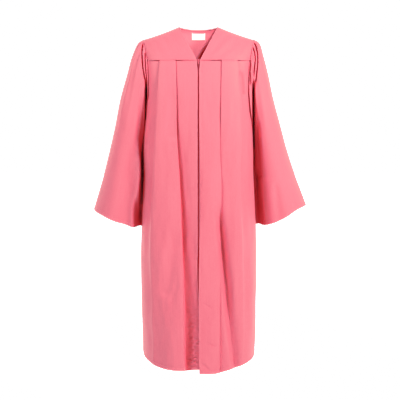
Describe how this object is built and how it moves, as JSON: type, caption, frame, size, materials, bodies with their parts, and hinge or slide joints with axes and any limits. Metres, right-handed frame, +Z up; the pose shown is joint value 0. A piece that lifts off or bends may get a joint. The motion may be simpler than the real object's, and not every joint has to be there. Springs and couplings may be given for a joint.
{
  "type": "graduation gown",
  "caption": "Long graduation gown with a yoke, V neck, zipped front, box pleats and bell sleeves gathered into the armholes, hanging in its worn shape.",
  "frame": {"origin": "midway between the two highest points of the shoulders, where the neckline starts", "axes": "+X to the viewer's right when looking at the fronts, the fronts face -Y, +Z up"},
  "size_m": [0.8442, 0.325, 1.3143],
  "materials": {
    "coral_cloth": "matte woven polyester with a slight sheen",
    "white_label": "plain woven ribbon",
    "zip_tape": "matte woven tape",
    "zip_coil": "satin",
    "coral_enamel": "satin enamel"
  },
  "bodies": {
    "gown": {"front_panel_left": "coral_cloth", "front_panel_right": "coral_cloth", "back_panel": "coral_cloth", "yoke_front_left": "coral_cloth", "yoke_front_right": "coral_cloth", "yoke_back": "coral_cloth", "sleeve_left": "coral_cloth", "sleeve_right": "coral_cloth", "neck_label": "white_label", "zip_tape_left": "zip_tape", "zip_tape_right": "zip_tape", "zip_chain": "zip_coil", "zip_slider": "coral_enamel"},
    "pull": {"zip_pull": "coral_enamel"}
  },
  "joints": [
    {"name": "pull_swing", "type": "hinge", "parent": "gown", "child": "pull", "pos_m": [0, -0.10739, -0.12596], "axis": [-1, 0, 0], "range_deg": [0, 170]}
  ]
}
